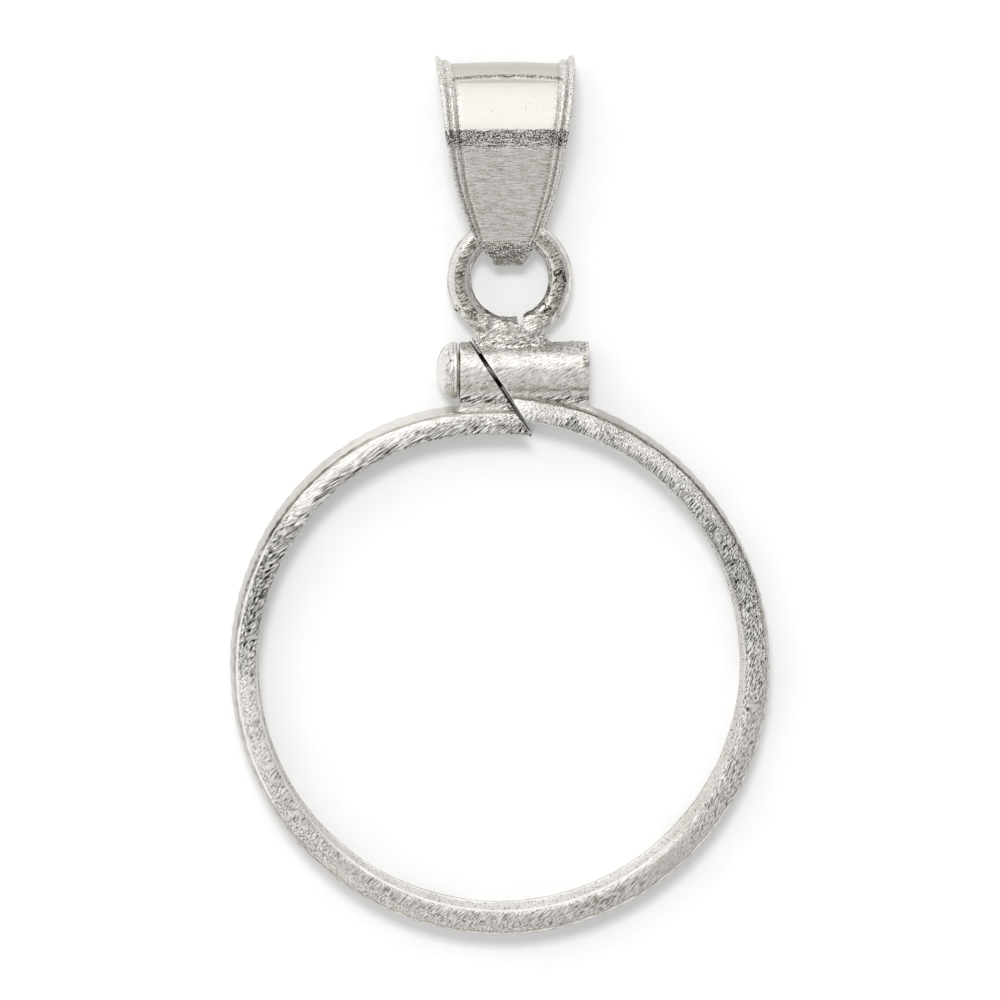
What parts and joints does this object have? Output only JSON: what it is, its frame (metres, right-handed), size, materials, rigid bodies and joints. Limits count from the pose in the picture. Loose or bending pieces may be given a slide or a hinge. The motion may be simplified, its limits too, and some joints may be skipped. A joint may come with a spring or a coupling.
{
  "type": "coin bezel",
  "caption": "Split silver ring that clamps a small coin by its edge, closed by a screw through a barrel, with a wire ring and a tapered bail to hang it from a chain.",
  "frame": {"origin": "middle of the footprint of the whole piece, on the surface that it lies on", "axes": "+Z is the front, up as it lies; +Y runs from the ring to the bail; +X is to the right seen from the front, away from the screw's head"},
  "size_m": [0.0224, 0.0366, 0.0043],
  "materials": {
    "silver_filed": "filed sterling silver with fine scratches",
    "silver_screw": "polished sterling silver",
    "silver_satin": "satin sterling silver"
  },
  "bodies": {
    "frame": {"bezel_frame": "silver_filed"},
    "screw": {"clamp_screw": "silver_screw"},
    "bail": {"bail": "silver_satin"}
  },
  "joints": [
    {"name": "bail_swing", "type": "hinge", "parent": "frame", "child": "bail", "pos_m": [0.0004, 0.01075, 0.00137], "axis": [1, 0, 0], "range_deg": [-65, 65]},
    {"name": "screw_travel", "type": "slide", "parent": "frame", "child": "screw", "axis": [-1, 0, 0], "range_m": [0, 0.0045]}
  ]
}
